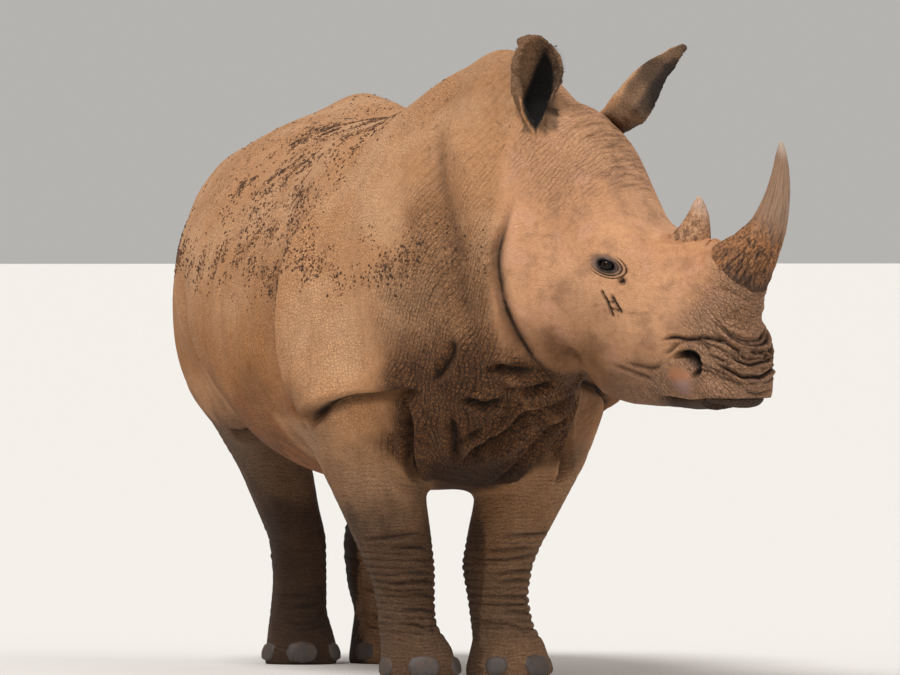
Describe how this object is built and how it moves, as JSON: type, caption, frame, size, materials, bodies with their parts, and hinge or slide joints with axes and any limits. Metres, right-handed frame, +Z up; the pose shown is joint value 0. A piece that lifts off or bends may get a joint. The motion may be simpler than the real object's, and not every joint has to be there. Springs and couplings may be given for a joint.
{
  "type": "white rhinoceros",
  "caption": "Life-size standing young adult square-lipped rhinoceros, its head turned to its left, with a long curved front horn, a short rear horn, cupped ears and a thin tail.",
  "frame": {"origin": "on the floor, under the middle of the animal's extents", "axes": "+X the way the body faces, +Y the animal's left, +Z up; the head is turned about 40 degrees towards +Y"},
  "size_m": [3.0356, 1.271, 1.8],
  "materials": {
    "skin": "dry mud over thick grey hide, matt",
    "leg_skin": "dark grey-brown hide, matt",
    "ear_skin": "dark brown hide, matt",
    "horn": "rough fibrous base, smoother grey tip",
    "nail": "dull blue-grey",
    "eye": "wet, dark",
    "tail_hair": "stiff dark bristles"
  },
  "bodies": {
    "root": {"trunk": "skin", "neck": "skin", "head": "skin", "lower_jaw": "skin", "tail": "skin", "leg_front_left": "leg_skin", "leg_front_right": "leg_skin", "leg_hind_left": "leg_skin", "leg_hind_right": "leg_skin", "foot_front_left": "leg_skin", "foot_front_right": "leg_skin", "foot_hind_left": "leg_skin", "foot_hind_right": "leg_skin", "ear_left": "ear_skin", "ear_right": "ear_skin", "horn_front": "horn", "horn_rear": "horn", "nail_front_left_inner": "nail", "nail_front_left_middle": "nail", "nail_front_left_outer": "nail", "nail_front_right_inner": "nail", "nail_front_right_middle": "nail", "nail_front_right_outer": "nail", "nail_hind_left_inner": "nail", "nail_hind_left_middle": "nail", "nail_hind_left_outer": "nail", "nail_hind_right_inner": "nail", "nail_hind_right_middle": "nail", "nail_hind_right_outer": "nail", "eye_left": "eye", "eye_right": "eye", "tail_tuft": "tail_hair"}
  },
  "joints": []
}
